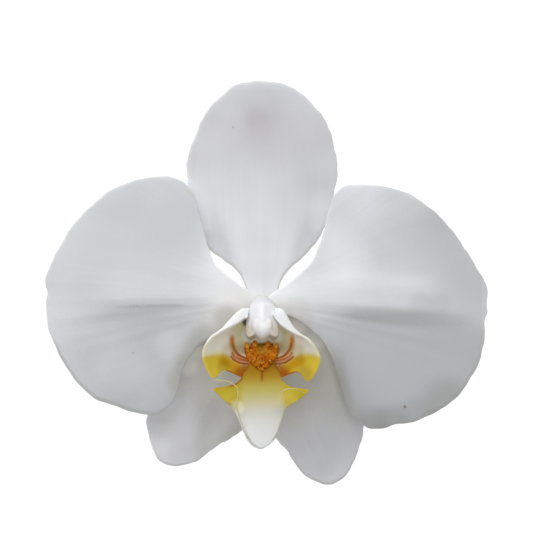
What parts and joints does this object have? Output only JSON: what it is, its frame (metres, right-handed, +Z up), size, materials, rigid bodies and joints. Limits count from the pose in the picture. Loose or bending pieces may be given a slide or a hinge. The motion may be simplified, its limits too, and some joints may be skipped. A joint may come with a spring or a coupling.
{
  "type": "moth orchid flower",
  "caption": "Single white moth orchid flower with a yellow and orange lip, cut with its stalk and lying face up on the tips of its lower sepals and on the stalk.",
  "frame": {"origin": "on the surface the flower lies on, under the middle of its bounding box", "axes": "+Z up, towards whoever looks into the face of the flower; +Y towards the tip of the dorsal sepal, the flower's top; +X towards the right petal as seen from the front"},
  "size_m": [0.1107, 0.101, 0.0364],
  "materials": {
    "sepal": "satin",
    "petal": "satin",
    "lip": "satin",
    "column": "satin",
    "anther_cap": "satin",
    "pollen": "satin",
    "stalk": "satin"
  },
  "bodies": {
    "root": {"dorsal_sepal": "sepal", "lateral_sepal_left": "sepal", "lateral_sepal_right": "sepal", "petal_left": "petal", "petal_right": "petal", "lip": "lip", "column": "column", "anther_cap": "anther_cap", "pollinarium": "pollen", "pedicel": "stalk"}
  },
  "joints": []
}
